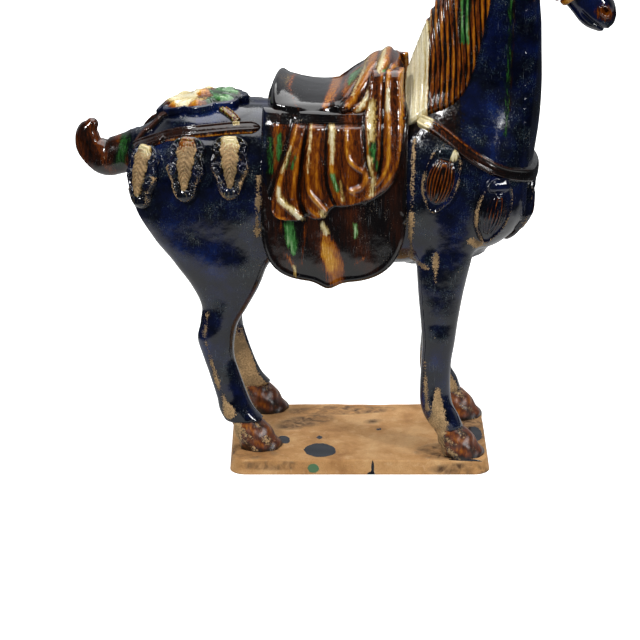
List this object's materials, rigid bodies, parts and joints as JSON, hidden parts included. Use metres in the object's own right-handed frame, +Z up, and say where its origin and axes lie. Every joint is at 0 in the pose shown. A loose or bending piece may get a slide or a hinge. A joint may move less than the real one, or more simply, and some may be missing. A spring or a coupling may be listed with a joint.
{
  "type": "sancai glazed horse figure",
  "caption": "Standing saddled horse of lead-glazed earthenware on a rectangular base slab, with a draped saddle cloth, harness with pendants and a docked, curled tail.",
  "frame": {"origin": "centre of the base slab's underside, where it rests", "axes": "+X towards the horse's chest, along the base slab's length, +Y towards the horse's left side, +Z up; the horse itself stands turned 5.5 degrees on its slab, chest towards -Y"},
  "size_m": [0.5802, 0.1941, 0.655],
  "materials": {
    "blue_glaze": null,
    "amber_glaze": "glossy amber to dark brown lead glaze, run in streaks with cream and green, on the cover's folds, tail, hooves and mane",
    "bare_clay": "matt unglazed buff to ochre earthenware, with drips of dark blue glaze, on the base slab and in worn patches"
  },
  "bodies": {
    "root": {"sancai_horse": "blue_glaze"}
  },
  "joints": []
}
